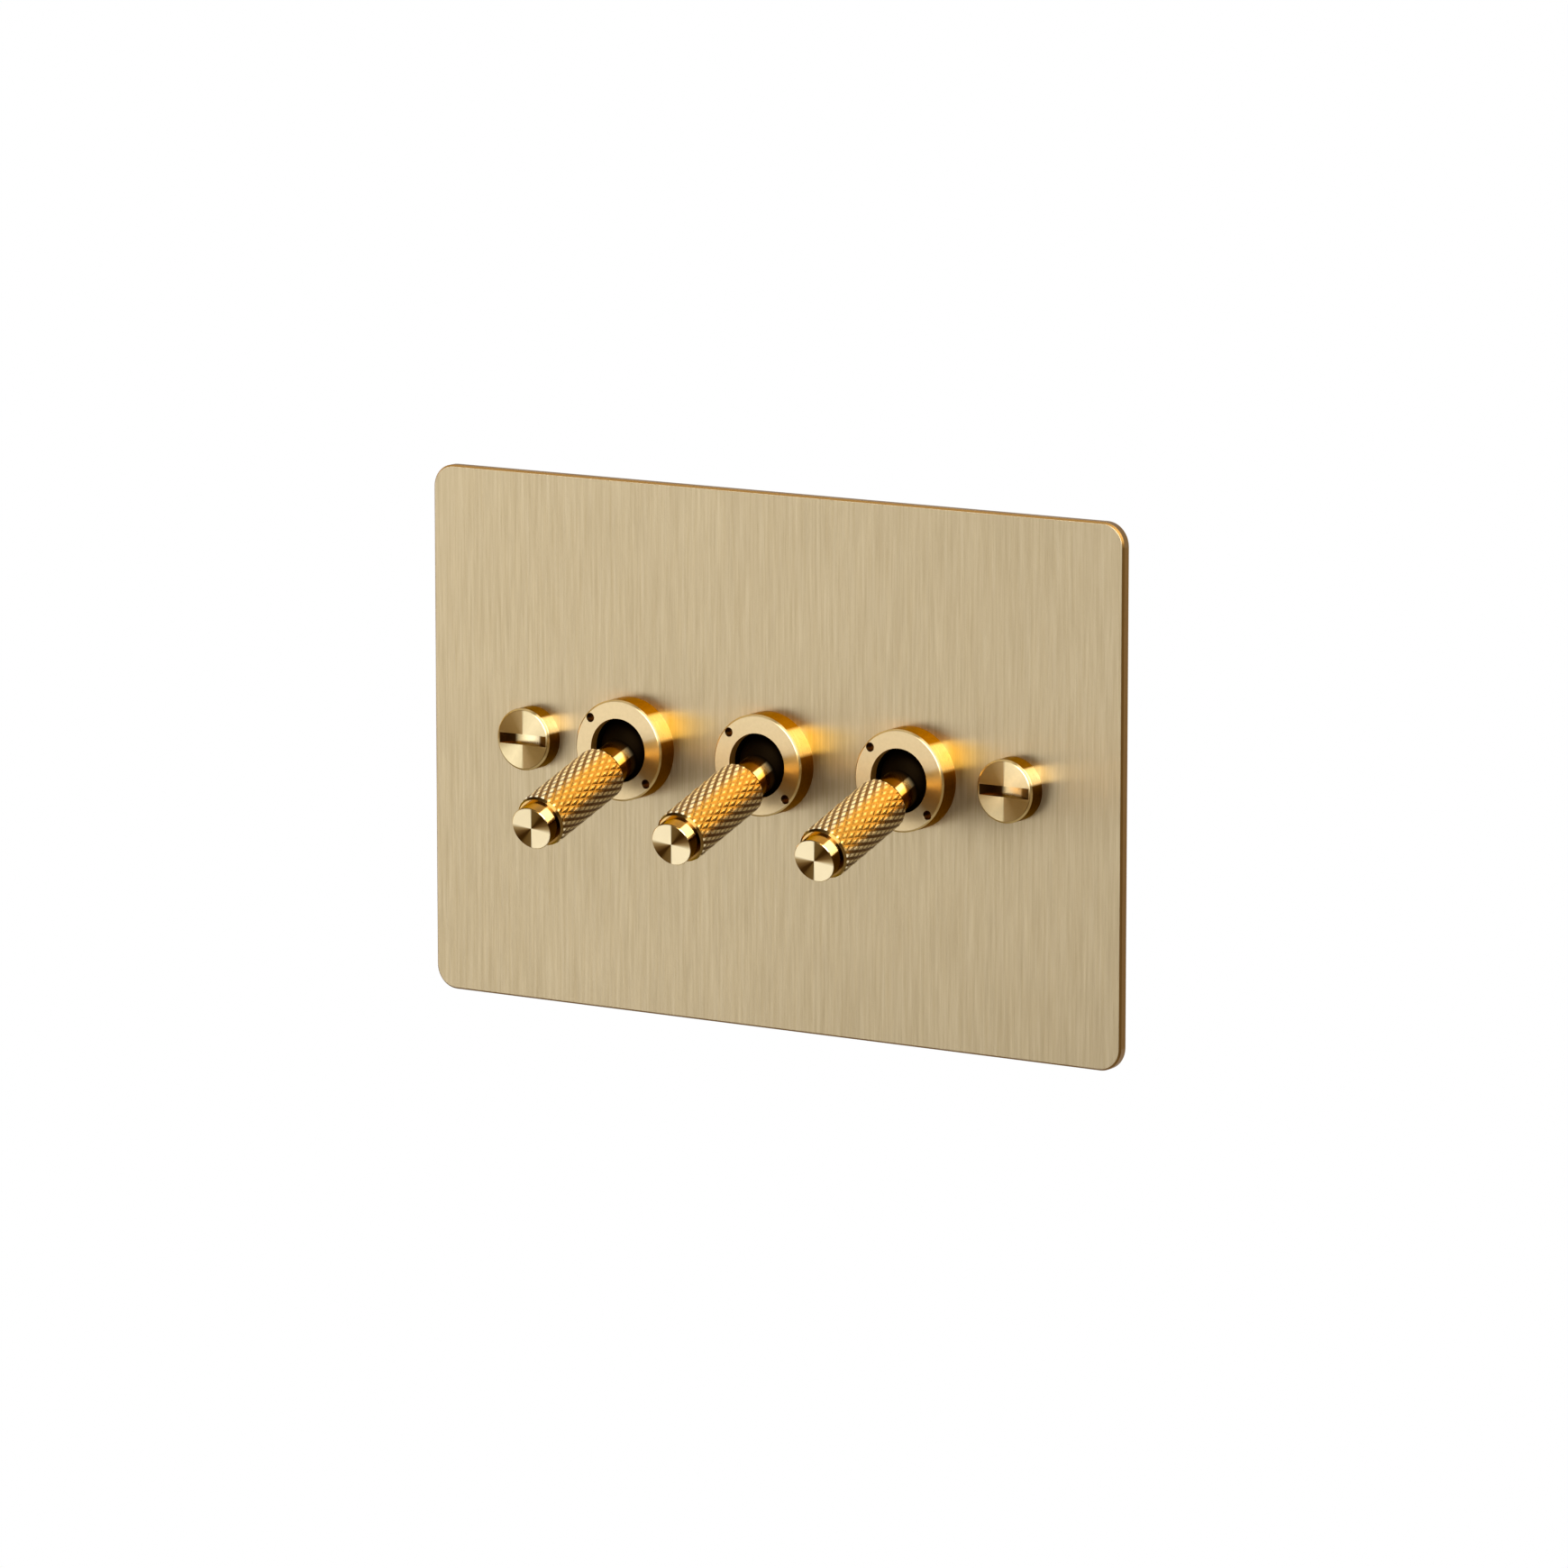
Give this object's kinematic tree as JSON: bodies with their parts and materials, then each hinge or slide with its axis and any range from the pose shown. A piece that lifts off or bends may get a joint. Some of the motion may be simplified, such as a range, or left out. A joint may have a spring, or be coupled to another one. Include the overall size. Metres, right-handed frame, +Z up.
{
  "type": "triple toggle light switch",
  "caption": "Landscape wall plate in brushed brass with a row of knurled toggle levers in round bezel rings, slotted fixing screws, and switch modules with screw terminals behind.",
  "frame": {"origin": "centre of the plate, on the wall plane that the gasket seats on, midway between the fixing screws", "axes": "+X along the plate to the viewer's right, +Y into the wall, +Z up; the viewer stands on the -Y side"},
  "size_m": [0.12, 0.0574, 0.08],
  "materials": {
    "brushed_brass": "satin, upright brushed grain",
    "turned_brass": "fine turned faces, bright chamfers",
    "knurled_brass": "diamond knurl",
    "plain_brass": "plain machined",
    "bright_steel": "bright zinc plated",
    "zinc_plated_steel": "zinc plated sheet",
    "contact_copper": "silver-faced copper strip",
    "black_moulding": "thermoset moulding",
    "clear_nylon": "natural nylon",
    "soft_gasket": "closed-cell foam rubber"
  },
  "bodies": {
    "plate_assembly": {"face_plate": "brushed_brass", "wall_gasket": "soft_gasket", "earth_terminal": "plain_brass", "earth_screw": "bright_steel", "left_fixing_screw": "turned_brass", "left_screw_retainer": "clear_nylon", "right_fixing_screw": "turned_brass", "right_screw_retainer": "clear_nylon", "left_bezel_ring": "turned_brass", "left_threaded_bushing": "plain_brass", "left_lock_nut": "plain_brass", "left_pivot_pin": "bright_steel", "left_front_yoke": "zinc_plated_steel", "left_switch_body": "black_moulding", "left_common_terminal": "plain_brass", "left_upper_terminal": "plain_brass", "left_lower_terminal": "plain_brass", "left_terminal_screws": "bright_steel", "middle_bezel_ring": "turned_brass", "middle_threaded_bushing": "plain_brass", "middle_lock_nut": "plain_brass", "middle_pivot_pin": "bright_steel", "middle_front_yoke": "zinc_plated_steel", "middle_switch_body": "black_moulding", "middle_common_terminal": "plain_brass", "middle_upper_terminal": "plain_brass", "middle_lower_terminal": "plain_brass", "middle_terminal_screws": "bright_steel", "right_bezel_ring": "turned_brass", "right_threaded_bushing": "plain_brass", "right_lock_nut": "plain_brass", "right_pivot_pin": "bright_steel", "right_front_yoke": "zinc_plated_steel", "right_switch_body": "black_moulding", "right_common_terminal": "plain_brass", "right_upper_terminal": "plain_brass", "right_lower_terminal": "plain_brass", "right_terminal_screws": "bright_steel"},
    "left_lever": {"left_lever_rod": "turned_brass", "left_knurled_grip": "knurled_brass", "left_plunger": "black_moulding", "left_plunger_spring": "bright_steel"},
    "left_rocker": {"left_rocker_contact": "contact_copper"},
    "middle_lever": {"middle_lever_rod": "turned_brass", "middle_knurled_grip": "knurled_brass", "middle_plunger": "black_moulding", "middle_plunger_spring": "bright_steel"},
    "middle_rocker": {"middle_rocker_contact": "contact_copper"},
    "right_lever": {"right_lever_rod": "turned_brass", "right_knurled_grip": "knurled_brass", "right_plunger": "black_moulding", "right_plunger_spring": "bright_steel"},
    "right_rocker": {"right_rocker_contact": "contact_copper"}
  },
  "joints": [
    {"name": "left_lever_throw", "type": "hinge", "parent": "plate_assembly", "child": "left_lever", "pos_m": [-0.0245, -0.0016, 0], "axis": [-1, 0, 0], "range_deg": [0, 34]},
    {"name": "left_rocker_tilt", "type": "hinge", "parent": "plate_assembly", "child": "left_rocker", "pos_m": [-0.0245, 0.01407, 0], "axis": [1, 0, 0], "range_deg": [0, 16]},
    {"name": "middle_lever_throw", "type": "hinge", "parent": "plate_assembly", "child": "middle_lever", "pos_m": [0, -0.0016, 0], "axis": [-1, 0, 0], "range_deg": [0, 34]},
    {"name": "middle_rocker_tilt", "type": "hinge", "parent": "plate_assembly", "child": "middle_rocker", "pos_m": [0, 0.01407, 0], "axis": [1, 0, 0], "range_deg": [0, 16]},
    {"name": "right_lever_throw", "type": "hinge", "parent": "plate_assembly", "child": "right_lever", "pos_m": [0.0245, -0.0016, 0], "axis": [-1, 0, 0], "range_deg": [0, 34]},
    {"name": "right_rocker_tilt", "type": "hinge", "parent": "plate_assembly", "child": "right_rocker", "pos_m": [0.0245, 0.01407, 0], "axis": [1, 0, 0], "range_deg": [0, 16]}
  ],
  "couplings": [
    {"joint": "left_rocker_tilt", "follows": "left_lever_throw", "ratio": 0.47059},
    {"joint": "middle_rocker_tilt", "follows": "middle_lever_throw", "ratio": 0.47059},
    {"joint": "right_rocker_tilt", "follows": "right_lever_throw", "ratio": 0.47059}
  ]
}
